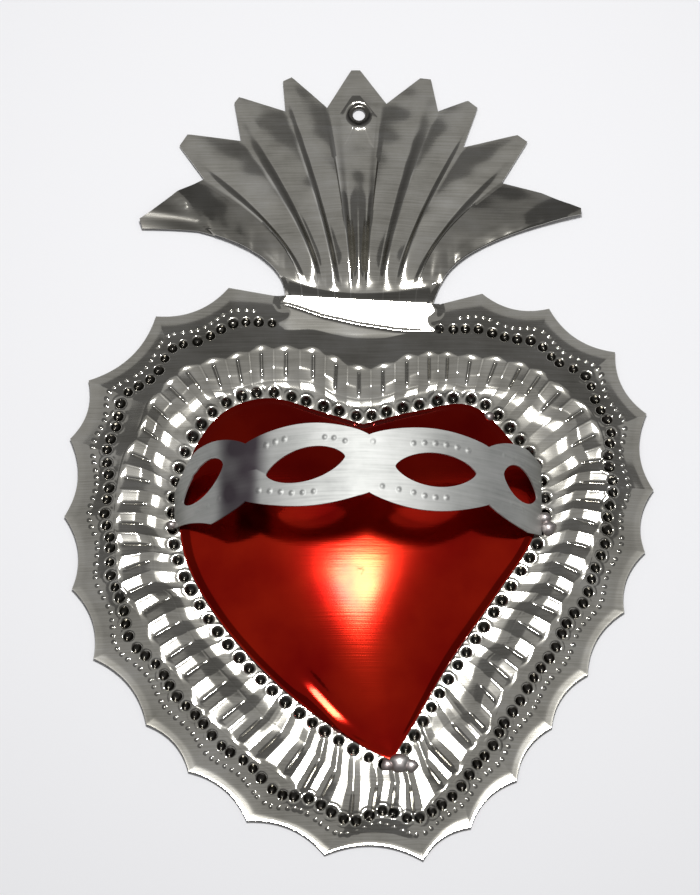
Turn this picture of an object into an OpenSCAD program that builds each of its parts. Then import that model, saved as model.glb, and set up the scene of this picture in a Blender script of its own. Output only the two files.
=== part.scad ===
// Tin wall ornament: an embossed flaming heart plate, a red domed heart and a crown band.
// The hanging hole is the origin. X runs to the viewer's right, Z up, and the front faces -Y.
// The wall lies at Y = 0, so a height over the wall is a distance towards -Y.

/* [Heart plate] */
// Width of the heart over its rim cusps
heart_w = 150; // [110:1:200]
// Height of the heart from the neck fold to its lowest cusp
heart_h = 149; // [112:1:202]
// Thickness of the embossed tin sheet
sheet_t = 0.4; // [0.3:0.05:0.6]
// Depth of each snipped scallop, as a share of the cusp spacing
scallop_sag = 0.13; // [0.05:0.01:0.2]
// Height of the ridge that runs round the ends of the flutes
ridge_h = 4; // [2.8:0.1:5]
// Height of the ribs between the flutes
rib_h = 4.4; // [3.6:0.1:6]
// Height of the hollow floor of each flute
flute_h = 2.7; // [2:0.1:3.4]
// Height of the flat bed that carries the red heart
bed_h = 2.4; // [1.4:0.1:2.8]

/* [Neck and flame] */
// Width of the flame crown over its outer leaf tips
flame_w = 113.5; // [80:0.5:150]
// Height of the flame crown from the neck fold to its middle tip
flame_h = 65; // [53:0.2:90]
// Width of the neck that joins heart and flame
neck_w = 37.8; // [30:0.2:46]
// Height of the rolled band that is chased across the neck
neck_roll_h = 3.4; // [1.4:0.1:4.4]
// Length over which the petals rise straight before they fan out
petal_spring = 15.8; // [8:0.2:20]
// Swell of each petal over the grooves beside it
petal_h = 2.3; // [1:0.1:3.6]

/* [Hanging hole] */
// Distance from the hanging hole down to the neck fold
hole_drop = 52.7; // [48:0.1:53.6]
// Diameter of the nail-punched hanging hole
hole_d = 3.2; // [2.4:0.1:4.4]
// Diameter of the punched dish around the hole
dish_d = 6.8; // [6:0.1:8]
// Length of the straight collar that the punch leaves
collar_l = 0.8; // [0.5:0.1:1]

/* [Red heart] */
// Rise of the red dome over its edge
dome_rise = 7.4; // [5:0.1:10]
// Thickness of the lacquered sheet
dome_t = 0.4; // [0.3:0.05:0.6]
// Height of the turned-down edge of the red heart
dome_lip = 0.45; // [0.4:0.05:0.8]

/* [Crown band] */
// Height of the band's inner face at its middle, over the wall
band_h = 28.1; // [22:0.1:36]
// Thickness of the band
band_t = 0.4; // [0.3:0.05:0.6]
// Distance from the neck fold down to the middle of the band
band_drop = 52.7; // [49:0.1:56]
// Width of the band at its waists
band_waist = 15.3; // [12:0.1:18]
// Width of the band across its almond holes
band_wide = 22.1; // [20:0.1:25]
// Height of the almond holes
almond_h = 9.1; // [5:0.1:10]
// Gap between the red heart's edge and a foot of the band
foot_gap = 1.2; // [0.6:0.1:1.8]

/* [Solder] */
// Radius of the small solder tacks
tack_r = 1.7; // [1.2:0.1:2]
// Radius of the big bead at the band's right foot
bead_r = 2.3; // [1.6:0.1:2.6]
// Radius of the lump under the red heart's tip
lump_r = 3; // [2:0.1:3.4]

/* [Hidden] */
$fn = 48;

// The outlines below are hand-set on a heart 150 wide and 149 high, in millimetres from the middle of
// its neck fold, and on a flame 113.5 wide and 65 high. They stretch with the sizes above.
drawn_heart = [150, 149];
drawn_flame = [113.5, 65];
neck_z = -hole_drop;
function on_heart(p) = [p[0] * heart_w / drawn_heart[0], neck_z + p[1] * heart_h / drawn_heart[1]];
function on_flame(p) = [p[0] * flame_w / drawn_flame[0], neck_z + p[1] * flame_h / drawn_flame[1]];
neck_skew = 2.3; // the hand-cut neck starts this much higher at its left corner
neck_left = [-neck_w / 2, neck_z + neck_skew];
neck_right = [neck_w / 2, neck_z];

// Rim cusps, from the left of the neck round to its right
rim_cusps = concat([neck_left], [for (p = [[-33.4, 5], [-52, -2.8], [-69.1, -20.3], [-73.7, -36.2],
    [-75, -57.2], [-72.9, -76.7], [-67.3, -95.4], [-53.8, -113], [-43.1, -125.5], [-28.3, -138.6],
    [-8.7, -147.5], [16.1, -149], [28.1, -140.4], [39.8, -127.9], [48.7, -113.8], [57.9, -99.7],
    [67.3, -82.9], [72.7, -66.9], [75, -50.1], [73.4, -29.4], [65.5, -12.6], [48.7, -0.7],
    [31.6, 3.4]]) on_heart(p)], [neck_right]);
// Outer and inner end of every fourth flute, from the one under the neck and round to the left
flute_outer = [for (p = [[0.1, -16.5], [-25.1, -11.5], [-49.7, -21.4], [-61.7, -47.1], [-61.5, -73.2],
    [-49.6, -97], [-31.6, -118.5], [-10.3, -135], [14.1, -138.8], [32.8, -115.8], [47.7, -91.2],
    [59.7, -67], [63.3, -42.8], [46.8, -18.7], [22.7, -13.3]]) on_heart(p)];
flute_inner = [for (p = [[0, -26.3], [-24.7, -21.6], [-43.6, -27.6], [-52.5, -48.6], [-52.5, -69.7],
    [-41.6, -91.2], [-24.1, -111.4], [-5.9, -125.5], [12.6, -128.8], [27.5, -110.2], [39.8, -85.5],
    [52.1, -64.9], [55.6, -43.6], [42.2, -25.6], [22.3, -21.7]]) on_heart(p)];
flutes_per_key = 4;
// Place along the rim, counted in cusps, that each of these flutes points at
flute_aims = [[3, 0], [4, 0.47], [8, 2.46], [12, 4.36], [16, 6], [20, 7.48], [24, 9.1], [28, 10.66],
    [32, 12], [36, 14.2], [40, 16.1], [44, 17.85], [48, 19.46], [52, 21.62], [56, 23.64], [57, 24]];
neck_flutes = 6;

// Blunt tips of the nine petals and the notches between them, from the left
petal_tips = [for (t = [[[-55.6, 21.2], [-56.4, 23.7]], [[-46.2, 44.1], [-44.1, 47.3]],
    [[-32.1, 56], [-30.9, 57.6]], [[-19.6, 62], [-17.3, 63.1]], [[-2, 65], [0.3, 65]],
    [[15.8, 62.8], [18.6, 62.5]], [[28.1, 56.6], [30.6, 54.6]], [[40.8, 47.1], [43.4, 45.2]],
    [[57.1, 26.5], [57.1, 24.9]]]) [on_flame(t[0]), on_flame(t[1])]];
petal_notches = [for (p = [[-39.8, 34.9], [-30.3, 45.4], [-18.9, 53.6], [-8.2, 54.6], [7.1, 55.7],
    [20.4, 53.6], [26.8, 43.6], [36.7, 33.8]]) on_flame(p)];

// Outline of the red heart: left side from the cleft to the tip, then the right side back up
red_left = [for (p = [[1, -33.1], [-9.4, -29.8], [-22.7, -26], [-34.2, -29.6], [-41.8, -39.6],
    [-45.4, -53.7], [-44.1, -69.5], [-34.9, -86.8], [-19.6, -104.1], [-3.3, -117.1], [8.2, -123.4]])
    on_heart(p)];
red_right = [for (p = [[8.2, -123.4], [13.8, -113.9], [22.7, -97.7], [35.2, -78.6], [44.4, -63.2],
    [44.9, -49.6], [38, -36.6], [28.1, -27.9], [14.3, -29.6], [1, -33.1]]) on_heart(p)];
red_middle = on_heart([0.3, -75.5]);

function wrap(i, n) = ((i % n) + n) % n;
function blend(a, b, t) = a + (b - a) * t;
function flat(lists) = [for (l = lists) for (p = l) p];
// Smooth curve through four points, at the share t of the way from the second to the third
function smooth(a, b, c, d, t) =
    0.5 * (2 * b + (c - a) * t + (2 * a - 5 * b + 4 * c - d) * t * t + (3 * b - a - 3 * c + d) * t * t * t);
function on_ring(keys, u) = let (n = len(keys), i = floor(u))
    smooth(keys[wrap(i - 1, n)], keys[wrap(i, n)], keys[wrap(i + 1, n)], keys[wrap(i + 2, n)], u - i);
// Smooth open curve through keys, with steps points to each span and without its last point
function side(keys, steps) = [for (i = [0 : len(keys) - 2]) for (k = [0 : steps - 1])
    smooth(keys[max(i - 1, 0)], keys[i], keys[i + 1], keys[min(i + 2, len(keys) - 1)], k / steps)];

// Rim point at place p, counted in cusps: cusps joined by shallow hollow arcs, straight at the neck
function rim_point(p) = let (k = min(floor(p), len(rim_cusps) - 2), t = p - k,
    a = rim_cusps[k], b = rim_cusps[k + 1],
    near_neck = k == 0 || k == len(rim_cusps) - 2,
    sag = near_neck ? 0 : scallop_sag * 4 * t * (1 - t))
    blend(a, b, t) + sag * [a[1] - b[1], b[0] - a[0]];
// Place along the rim that flute number u points at
function aim(u) = [for (k = [0 : len(flute_aims) - 2]) let (a = flute_aims[k], b = flute_aims[k + 1])
    if (u >= a[0] && u <= b[0]) blend(a[1], b[1], (u - a[0]) / (b[0] - a[0]))][0];

// Columns of the plate's mesh: four to a flute, and under the neck four to a petal
cols_per_flute = 4;
petal_cols = 4;
crown_cols = petal_cols * len(petal_tips);
first_flute = flute_aims[0][0];
last_flute = flute_aims[len(flute_aims) - 1][0];
rim_cols = (last_flute - first_flute) * cols_per_flute;
cols = rim_cols + crown_cols;
function col_flute(j) = j <= rim_cols ? first_flute + j / cols_per_flute
    : last_flute + (j - rim_cols) * neck_flutes / crown_cols;
// A column close to a cusp moves onto it, so that every cusp stays sharp
snap = 0.24; // how close, as a share of the span between the columns on both its sides
function col_rim(j) = let (p = aim(col_flute(j)), span = aim(col_flute(min(j + 1, rim_cols))) -
    aim(col_flute(max(j - 1, 0))), cusp = round(p)) abs(p - cusp) < snap * span ? cusp : p;
function edge_point(j) = j <= rim_cols ? rim_point(col_rim(j))
    : blend(neck_right, neck_left, (j - rim_cols) / crown_cols);

// Rows of the heart's mesh from its edge inwards. The first reach from the edge to the flutes, and
// the others lie along the flutes and past them to the bed.
edge_rows = [0, 0.33, 0.68, 0.93];
flute_rows = [0.14, 0.82, 1, 1.22];
rows = len(edge_rows) + len(flute_rows);
foot_rise = 0.35; // share of the ridge's height at the foot of the pillow
end_ridge = 0.6; // height of the low ridge at the inner flute ends, as a share of the rise to ridge_h
rib_sharpness = 2.6;
neck_ramp = 0.12; // share of the neck's width over which its embossing fades out at each side
fold_h = 0.55; // height of the neck fold, as a share of the rolled band's
function rib_share(u) = pow(abs(sin(180 * u)), rib_sharpness);
function neck_share(j) = j <= rim_cols ? 0
    : let (s = (j - rim_cols) / crown_cols) min(1, min(s, 1 - s) / neck_ramp);
function row_height(r, j) = let (neck = neck_share(j) * (neck_roll_h - sheet_t))
    [sheet_t + fold_h * neck, sheet_t + neck, blend(sheet_t, ridge_h, foot_rise), ridge_h,
     blend(flute_h, rib_h, rib_share(col_flute(j))), blend(flute_h, rib_h, rib_share(col_flute(j))),
     blend(bed_h, ridge_h, end_ridge), bed_h][r];
function row_point(r, j) = let (u = col_flute(j) / flutes_per_key,
    outer = on_ring(flute_outer, u), inner = on_ring(flute_inner, u))
    r < len(edge_rows) ? blend(edge_point(j), outer, edge_rows[r])
    : blend(outer, inner, flute_rows[r - len(edge_rows)]);
function lift(p, h) = [p[0], -h, p[1]];

// Rows of the flame's mesh from the neck fold to the tips, with the heights of groove and petal swell
crown_rows = [0, 0.11, 0.2, 0.35, 0.55, 0.78, 1];
groove_rise = [0, 0.2, 1, 1.1, 0.8, 0.4, 0];
swell = [0, 0, 0.9, 1, 0.95, 0.7, 0.2];
petal_round = [0, 0.75, 1, 0.75];
// The two outer leaves run out from a notch along these shares, and are a little full on top
left_leaf = [0, 0, 0.4, 0.75];
right_leaf = [0, 0.25, 0.6, 1];
leaf_bulge = [0, 0.9];
// How much the outer edges of the left and right leaf bend away from the plain curve, row by row
left_edge_bend = [0, 0, 0, 0, 0.5, 1.3, 0];
right_edge_bend = [0, 0.6, 0.7, 0.3, 0, 0, 0];
function crown_top(c) = let (k = floor(c / petal_cols), q = c - petal_cols * k, last = len(petal_tips) - 1)
    k > last ? petal_tips[last][1]
    : q == 0 ? (k == 0 ? petal_tips[0][0] : petal_notches[k - 1])
    : k == 0 ? blend(petal_tips[0][1], petal_notches[0], left_leaf[q]) + (q > 1 ? leaf_bulge : [0, 0])
    : k == last ? blend(petal_notches[last - 1], petal_tips[last][0], right_leaf[q])
        + (q < 3 ? leaf_bulge : [0, 0])
    : blend(petal_tips[k][0], petal_tips[k][1], (q - 1) / 2);
function crown_point(q, c) = let (t = crown_rows[q], foot = blend(neck_left, neck_right, c / crown_cols))
    (1 - t) * (1 - t) * foot + 2 * t * (1 - t) * (foot + [0, petal_spring]) + t * t * crown_top(c)
    + [right_edge_bend[q] * max(0, 1 - (crown_cols - c) / 2), left_edge_bend[q] * max(0, 1 - c / 2)];
function crown_height(q, c) = sheet_t + (c == 0 || c == crown_cols ? 0
    : groove_rise[q] + petal_h * swell[q] * petal_round[wrap(c, petal_cols)]);

heart_points = cols * rows;
front_points = concat(
    [for (r = [0 : rows - 1]) for (j = [0 : cols - 1]) lift(row_point(r, j), row_height(r, j))],
    [for (q = [1 : len(crown_rows) - 1]) for (c = [0 : crown_cols])
        lift(crown_point(q, c), crown_height(q, c))]);
back_points = [for (p = front_points) p + [0, sheet_t, 0]];
function heart_id(r, j) = r * cols + wrap(j, cols);
function crown_id(q, c) = q == 0 ? heart_id(0, cols - c) : heart_points + (q - 1) * (crown_cols + 1) + c;
function tiles(a, b, c, d) = [[a, b, c], [a, c, d]];
front_faces = concat(
    flat([for (r = [0 : rows - 2]) for (j = [0 : cols - 1])
        tiles(heart_id(r, j), heart_id(r + 1, j), heart_id(r + 1, j + 1), heart_id(r, j + 1))]),
    flat([for (q = [0 : len(crown_rows) - 2]) for (k = [0 : crown_cols - 1])
        tiles(crown_id(q, k), crown_id(q + 1, k), crown_id(q + 1, k + 1), crown_id(q, k + 1))]),
    [[for (j = [cols - 1 : -1 : 0]) heart_id(rows - 1, j)]]);
sheet_edge = concat([for (j = [0 : rim_cols]) heart_id(0, j)],
    [for (q = [1 : len(crown_rows) - 1]) crown_id(q, crown_cols)],
    [for (c = [crown_cols - 1 : -1 : 0]) crown_id(len(crown_rows) - 1, c)],
    [for (q = [len(crown_rows) - 2 : -1 : 1]) crown_id(q, 0)]);
bed_outline = [for (j = [0 : cols - 1]) row_point(rows - 1, j)];

// A closed sheet between a front and a back grid that share their faces and one open edge
module sheet(front, back, faces, edge) {
    n = len(front);
    walls = flat([for (i = [0 : len(edge) - 1]) let (a = edge[i], b = edge[wrap(i + 1, len(edge))])
        [[a, b, b + n], [a, b + n, a + n]]]);
    backs = [for (f = faces) [for (i = [len(f) - 1 : -1 : 0]) f[i] + n]];
    polyhedron(concat(front, back), concat(faces, backs, walls), convexity = 10);
}
// Turns a shape that is drawn in the XZ plane and extruded upwards, so that it grows towards -Y
module forward(from, to) translate([0, -from, 0]) rotate([90, 0, 0]) linear_extrude(to - from) children();

dish_lip_h = sheet_t + groove_rise[5] + petal_h * swell[5] + 0.2;
dish_wall = 0.35; // ring of sheet that the dish shares with the petal
module dish() rotate([90, 0, 0]) rotate_extrude($fn = 64) polygon([[hole_d / 2, 0],
    [hole_d / 2 + sheet_t, 0], [dish_d / 2, sheet_t], [dish_d / 2, dish_lip_h],
    [dish_d / 2 - dish_wall, dish_lip_h], [hole_d / 2, collar_l]]);

module back_plate() color("silver") {
    difference() {
        sheet(front_points, back_points, front_faces, sheet_edge);
        rotate([-90, 0, 0]) cylinder(r = dish_d / 2 - dish_wall, h = 4 * ridge_h, center = true, $fn = 64);
    }
    dish();
}

// Rings of the red dome, from its edge to its middle
dome_rings = [1, 0.975, 0.92, 0.84, 0.72, 0.56, 0.36, 0.15];
span_steps = 4;
red_outline = concat(side(red_left, span_steps), side(red_right, span_steps));
function dome_height(s) = bed_h + dome_lip + dome_rise * pow(1 - pow(s, 2.4), 0.75);
function dome_back(s) = s > 0.95 ? bed_h : dome_height(s) - dome_t;
function dome_points(face) = concat([for (s = dome_rings) for (p = red_outline)
    lift(blend(red_middle, p, s), face == 0 ? dome_height(s) : dome_back(s))],
    [lift(red_middle, face == 0 ? dome_height(0) : dome_back(0))]);
dome_cols = len(red_outline);
dome_faces = concat(
    flat([for (r = [0 : len(dome_rings) - 2]) for (j = [0 : dome_cols - 1]) let (a = r * dome_cols,
        b = a + dome_cols, next = wrap(j + 1, dome_cols)) tiles(a + j, b + j, b + next, a + next)]),
    [for (j = [0 : dome_cols - 1]) let (r = (len(dome_rings) - 1) * dome_cols)
        [r + j, len(dome_rings) * dome_cols, r + wrap(j + 1, dome_cols)]]);
module red_heart() color("crimson")
    sheet(dome_points(0), dome_points(1), dome_faces, [for (j = [0 : dome_cols - 1]) j]);

// The band spans the red heart, from beside its left edge to beside its right edge
foot_left = min([for (p = red_outline) p[0]]) - foot_gap;
foot_right = max([for (p = red_outline) p[0]]) + foot_gap;
band_mid = (foot_left + foot_right) / 2;
band_half = (foot_right - foot_left) / 2;
band_z = neck_z - band_drop;
// Waists and almond holes as shares of the half span, unevenly spaced because they are hand-cut
waists = [-0.615, 0.06, 0.714];
almonds = [[-0.957, -0.734], [-0.502, -0.07], [0.202, 0.644], [0.793, 0.977]];
almond_tilt = [[0, 3.7], [-1.7, 1.7], [0, 0], [1.6, 0]]; // lift of each hole's left and right tip
almond_points = 24;
end_width = [9.4, 18.9]; // width of the band at its left and right foot
end_swell = [0.22, 0.2]; // run from the outer waists to full width
band_end_sag = [3.8, 1.1]; // fall of the band's middle line, close to its left and its right end
band_dip = 0.9; // the middle line hangs a little between the middle and the right waist
function band_line(s) = band_z - band_end_sag[s < 0 ? 0 : 1] * pow(s, 6)
    - (s > 0 && s < waists[2] ? band_dip * sin(180 * s / waists[2]) : 0);
// Share of the swell between waist and full width, at the place s along the half span
function band_swell(s) = s < waists[0] ? sin(90 * min(1, (waists[0] - s) / end_swell[0]))
    : s > waists[2] ? sin(90 * min(1, (s - waists[2]) / end_swell[1]))
    : s < waists[1] ? sin(180 * (s - waists[0]) / (waists[1] - waists[0]))
    : sin(180 * (s - waists[1]) / (waists[2] - waists[1]));
function taper(s, start, power) = pow(max(0, (abs(s) - start) / (1 - start)), power);
function half_width(s, start, power) = min(blend(band_waist, band_wide, pow(band_swell(s), 0.8)),
    blend(band_wide, end_width[s < 0 ? 0 : 1], taper(s, start, power))) / 2;
// Upper and lower half of the band's width: the left end is rounded above and slopes off below
function over(s) = s < 0 ? half_width(s, 0.86, 2) : half_width(s, 0.93, 1);
function under(s) = s < 0 ? half_width(s, 0.8, 1) : half_width(s, 0.93, 1);
function band_point(s, v) = [band_mid + s * band_half, band_line(s) + v];
// Edge of an almond hole at the angle a, from its left tip
function almond_point(tips, tilt, a) = let (t = (1 - cos(a)) / 2)
    band_point(blend(tips[0], tips[1], t),
        blend(tilt[0], tilt[1], t) + sin(a) * pow(abs(sin(a)), 0.4) * almond_h / 2);
band_steps = 60;
module band_front() {
    places = [for (i = [-band_steps : band_steps]) i / band_steps];
    difference() {
        polygon(concat([for (s = places) band_point(s, -under(s))],
            [for (i = [len(places) - 1 : -1 : 0]) band_point(places[i], over(places[i]))]));
        for (k = [0 : len(almonds) - 1]) polygon([for (i = [0 : almond_points - 1])
            almond_point(almonds[k], almond_tilt[k], 360 * i / almond_points)]);
    }
}
// Half of the band's inner face seen from above: an arch that steepens towards its foot on the bed
arch_round = 0.685; // share of the arch's fall that is a plain parabola, and the rest is the steep foot
arch_steps = 20;
function arch(t) = blend(band_h, bed_h, arch_round * t * t + (1 - arch_round) * pow(t, 8));
half_path = [for (i = [arch_steps : -1 : 0]) let (t = sin(90 * i / arch_steps))
    [t * band_half, arch(t)]];
inner_path = concat(half_path,
    [for (i = [len(half_path) - 2 : -1 : 0]) [-half_path[i][0], half_path[i][1]]]);
function unit(v) = v / norm(v);
function outward(path, i) = let (d = unit(path[i + 1] - path[i - 1])) [d[1], -d[0]];
outer_path = [for (i = [0 : len(inner_path) - 1]) inner_path[i] + band_t *
    (i == 0 ? [1, 0] : i == len(inner_path) - 1 ? [-1, 0] : outward(inner_path, i))];
module crown_band() color("lightsteelblue") intersection() {
    forward(0, 2 * band_h) band_front();
    translate([band_mid, 0, band_z]) linear_extrude(3 * band_wide, center = true)
        polygon([for (p = concat(inner_path, [for (i = [len(outer_path) - 1 : -1 : 0]) outer_path[i]]))
            [p[0], -p[1]]]);
}

// A bead that has set on the bed: a low round drop
bead_rise = 0.8; // height of a bead, as a share of its radius
lump_rise = 0.6; // height of a lump that ran wide, as a share of its radius
module drop(place, r, rise) translate([place[0], -bed_h, place[1]]) rotate([90, 0, 0])
    rotate_extrude($fn = 32)
        polygon(concat([[0, 0]], [for (a = [0 : 15 : 90]) r * [cos(a), rise * sin(a)]]));
// Room that the bead keeps clear of the red heart's cut edge
module clear_of_red() difference() {
    intersection() {
        children();
        forward(0, 3 * band_h) polygon(bed_outline);
    }
    forward(0, 3 * band_h) polygon(red_outline);
}
// The beads at the feet start where the band ends, and cling to its outer face
left_tack = [foot_left - band_t, band_line(-1) - under(-1) + tack_r / 2];
right_bead = [foot_right + band_t, band_line(1) - under(1) + bead_r];
module solder_band_left() color("gainsboro") intersection() {
    clear_of_red() drop(left_tack, tack_r, bead_rise);
    forward(0, band_h) translate([left_tack[0] - 2 * tack_r, left_tack[1] - 2 * tack_r])
        square([2 * tack_r, 4 * tack_r]);
}
module solder_band_right() color("gainsboro") intersection() {
    clear_of_red() {
        drop(right_bead + [0.7 * bead_r, 0], bead_r, bead_rise);
        drop(right_bead + [0.3 * bead_r, 1.2 * bead_r], bead_rise * bead_r, bead_rise);
    }
    forward(0, band_h) translate([right_bead[0], right_bead[1] - 2 * bead_r])
        square([3 * bead_r, 5 * bead_r]);
}
red_tip = red_left[len(red_left) - 1];
module solder_heart_tip() color("gainsboro") clear_of_red()
    drop(red_tip + [0.8 * lump_r, 0], lump_r, lump_rise);
lobe_edge = blend(red_right[6], red_right[7], 0.6);
module solder_heart_right_lobe() color("gainsboro") clear_of_red()
    drop(lobe_edge + 0.5 * tack_r * unit([1, 1]), tack_r, bead_rise);

back_plate();
red_heart();
crown_band();
solder_band_left();
solder_band_right();
solder_heart_tip();
solder_heart_right_lobe();
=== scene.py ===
import math

import bpy
import numpy as np
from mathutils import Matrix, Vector


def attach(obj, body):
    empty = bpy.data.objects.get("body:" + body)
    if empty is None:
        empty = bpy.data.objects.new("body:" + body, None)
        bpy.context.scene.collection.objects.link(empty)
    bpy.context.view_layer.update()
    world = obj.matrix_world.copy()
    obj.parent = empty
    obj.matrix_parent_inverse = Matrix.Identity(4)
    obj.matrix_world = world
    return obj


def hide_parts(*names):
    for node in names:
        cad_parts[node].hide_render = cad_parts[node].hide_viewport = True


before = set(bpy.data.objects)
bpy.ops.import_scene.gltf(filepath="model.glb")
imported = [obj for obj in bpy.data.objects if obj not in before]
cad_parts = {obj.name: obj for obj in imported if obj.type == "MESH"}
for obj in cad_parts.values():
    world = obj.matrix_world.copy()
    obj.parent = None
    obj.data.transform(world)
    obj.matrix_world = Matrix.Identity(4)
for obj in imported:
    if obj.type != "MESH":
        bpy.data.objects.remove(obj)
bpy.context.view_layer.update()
dice = np.random.default_rng(7)  # unevenness of the punch marks
neckZ = -52.7                    # the neck fold, seen from the hanging hole


# one span of a smooth curve from b to c, with their neighbours a and d
def smoothSpan(a, b, c, d, t):
    return 0.5 * (2 * b + (c - a) * t + (2 * a - 5 * b + 4 * c - d) * t**2 + (3 * b - a - 3 * c + d) * t**3)


# smooth closed curve through keys, at the places u
def onRing(keys, u):
    i = np.floor(u).astype(int)
    return smoothSpan(*(keys[(i + k) % len(keys)] for k in (-1, 0, 1, 2)), (u - i)[..., None])


# smooth open curve through keys, ends included
def openCurve(keys, steps):
    keys = np.array(keys, float)
    last = len(keys) - 1
    u = np.linspace(0, last, last * steps + 1)
    i = np.minimum(np.floor(u).astype(int), last - 1)
    return smoothSpan(*(keys[np.clip(i + k, 0, last)] for k in (-1, 0, 1, 2)), (u - i)[:, None])


def ease(x, low, high):
    t = np.clip((x - low) / (high - low), 0, 1)
    return t * t * (3 - 2 * t)


# straight runs between the values, with the kinks softened over a small share of the length
def profile(x, places, values, softShare=0.035, samples=400, ends=40):
    keys = np.linspace(places[0], places[-1], samples)
    line = np.interp(keys, places, values)
    reach = np.arange(-ends, ends + 1) * (keys[1] - keys[0])
    weight = np.exp(-0.5 * (reach / (softShare * (places[-1] - places[0]))) ** 2)
    padded = np.concatenate([np.full(ends, line[0]), line, np.full(ends, line[-1])])
    return np.interp(x, keys, np.convolve(padded, weight / weight.sum(), "valid"))


# soft random waviness, about -1 to 1, with bumps of that size in mm: waves that run in all directions
def ripple(x, z, size, seed, waves=12, spread=3.4):
    local = np.random.default_rng(seed)
    out = np.zeros(np.shape(x))
    for k in range(waves):
        turn = local.uniform(0, 2 * math.pi)
        rate = 2 * math.pi / (size * local.uniform(0.7, 1.8))
        out += np.sin(rate * (x * math.cos(turn) + z * math.sin(turn)) + local.uniform(0, 6.28))
    return out / spread


# places along a path at an even pitch, with a loose share of hand-made unevenness
def evenly(path, pitch, loose=0.0, closed=False):
    if closed:
        path = np.vstack([path, path[:1]])
    run = np.concatenate([[0], np.cumsum(np.linalg.norm(np.diff(path, axis=0), axis=1))])
    count = max(2, int(round(run[-1] / pitch)))
    at = (np.arange(count) + 0.5) * run[-1] / count + dice.normal(0, loose * pitch, count)
    return np.column_stack([np.interp(at, run, path[:, 0]), np.interp(at, run, path[:, 1])])


# a piece from vertices (x, z, h) in mm: it rides the root and stands for a CAD node
def addMesh(name, vertices, faces, material, node, sharp=50, stain=None):
    mesh = bpy.data.meshes.new(name)
    v = np.asarray(vertices, float)
    mesh.from_pydata(np.column_stack([v[:, 0], -v[:, 2], v[:, 1]]) * 0.001, [], faces)
    if stain is not None:
        values = mesh.attributes.new("stain", "FLOAT", "POINT").data
        values.foreach_set("value", np.asarray(stain, np.float32))
    mesh.shade_smooth()
    mesh.set_sharp_from_angle(angle=math.radians(sharp))
    piece = bpy.data.objects.new(name, mesh)
    bpy.context.collection.objects.link(piece)
    mesh.materials.append(material)
    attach(piece, "root")
    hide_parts(node)
    return piece


# faces over a grid of vertex numbers, wound so that the front of a sheet faces the viewer
def gridFaces(ids):
    a, b, c, d = ids[:-1, :-1], ids[1:, :-1], ids[1:, 1:], ids[:-1, 1:]
    return np.stack([a, b, c, d], axis=-1).reshape(-1, 4).tolist()


# front points and faces, plus a back at that thickness and walls round the edge loops
def solidSheet(points, faces, loops, thick):
    count = len(points)
    back = points.copy()
    back[:, 2] -= thick
    allFaces = list(faces) + [[i + count for i in reversed(f)] for f in faces]
    for loop in loops:
        for a, b in zip(loop, loop[1:] + loop[:1]):
            allFaces.append([b, a, a + count, b + count])
    return np.vstack([points, back]), allFaces


# sRGB hex to the linear colour that shaders take
def hexColor(text):
    channels = [int(text[i:i + 2], 16) / 255 for i in (1, 3, 5)]
    return [c / 12.92 if c <= 0.04045 else ((c + 0.055) / 1.055) ** 2.4 for c in channels] + [1.0]


# adds a shader node, sets its values and links its inputs, by name or as i and a number; stops are the
# (place, hex) pairs of a colour ramp
def addNode(tree, kind, settings=None, **links):
    node = tree.nodes.new(kind)
    for key, value in (settings or {}).items():
        if key == "stops":
            points = node.color_ramp.elements
            while len(points) < len(value):
                points.new(0.5)
            for point, (at, colour) in zip(points, value):
                point.position = at
                point.color = hexColor(colour)
        elif isinstance(key, int) or key in node.inputs:
            node.inputs[key].default_value = value
        else:
            setattr(node, key, value)
    for key, source in links.items():
        socket = int(key[1:]) if key[0] == "i" and key[1:].isdigit() else key.replace("_", " ")
        tree.links.new(source, node.inputs[socket])
    return node


def newMaterial(name):
    material = bpy.data.materials.new(name)
    material.use_nodes = True
    material.node_tree.nodes.clear()
    return material, material.node_tree


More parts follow.
